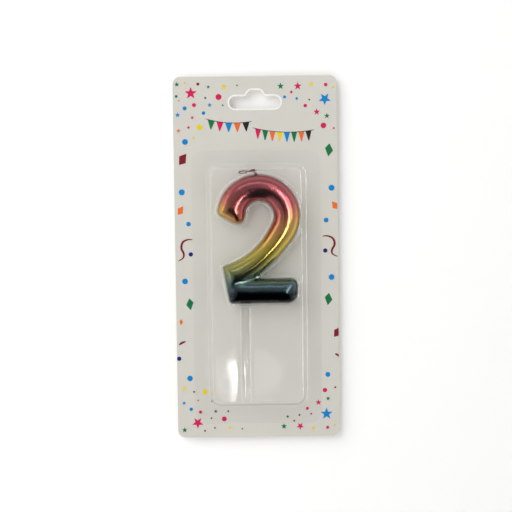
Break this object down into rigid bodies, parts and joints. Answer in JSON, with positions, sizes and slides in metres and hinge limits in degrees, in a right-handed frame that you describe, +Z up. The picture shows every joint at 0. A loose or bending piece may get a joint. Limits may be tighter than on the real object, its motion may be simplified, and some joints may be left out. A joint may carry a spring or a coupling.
{
  "type": "number birthday candle",
  "caption": "Metallic-lacquered wax numeral candle with a wick and a clear plastic pick, held under a clear form-fitted blister on a printed hang card with a hanging slot.",
  "frame": {"origin": "where the peg bears on the top of the card's hanging slot, halfway through the board", "axes": "+Z up as the pack hangs and as the numeral reads, +X to the reader's right, -Y out of the card's printed face; the card's back faces +Y"},
  "size_m": [0.0892, 0.0119, 0.198],
  "materials": {
    "card_print": "coated warm light grey board printed with small coloured stars, dots and streamers",
    "clear_film": "clear glossy thermoformed film",
    "lacquered_wax": "metallic lacquer on wax, fading from rose red through gold and teal to near black",
    "clear_plastic": "clear moulded plastic",
    "waxed_cotton": "waxed twisted cotton tinted by the lacquer"
  },
  "bodies": {
    "card": {"backing_card": "card_print"},
    "blister": {"blister_shell": "clear_film"},
    "candle": {"wax_figure_two": "lacquered_wax", "plastic_stick": "clear_plastic", "wick_core": "waxed_cotton"},
    "wick_tip": {"wick_end": "waxed_cotton"}
  },
  "joints": [
    {"name": "blister_peel", "type": "hinge", "parent": "card", "child": "blister", "pos_m": [-0.035, -0.0006, -0.1076], "axis": [0, 0, -1], "range_deg": [0, 110]},
    {"name": "candle_lift", "type": "slide", "parent": "card", "child": "candle", "axis": [0, -1, 0], "range_m": [0, 0.027]},
    {"name": "wick_bend", "type": "hinge", "parent": "candle", "child": "wick_tip", "pos_m": [0.0003, -0.0049, -0.0437], "axis": [0, 1, 0], "range_deg": [0, 84]}
  ],
  "couplings": [
    {"joint": "candle_lift", "follows": "blister_peel", "m_per_rad": 0.014},
    {"joint": "wick_bend", "follows": "blister_peel", "ratio": 0.75}
  ]
}
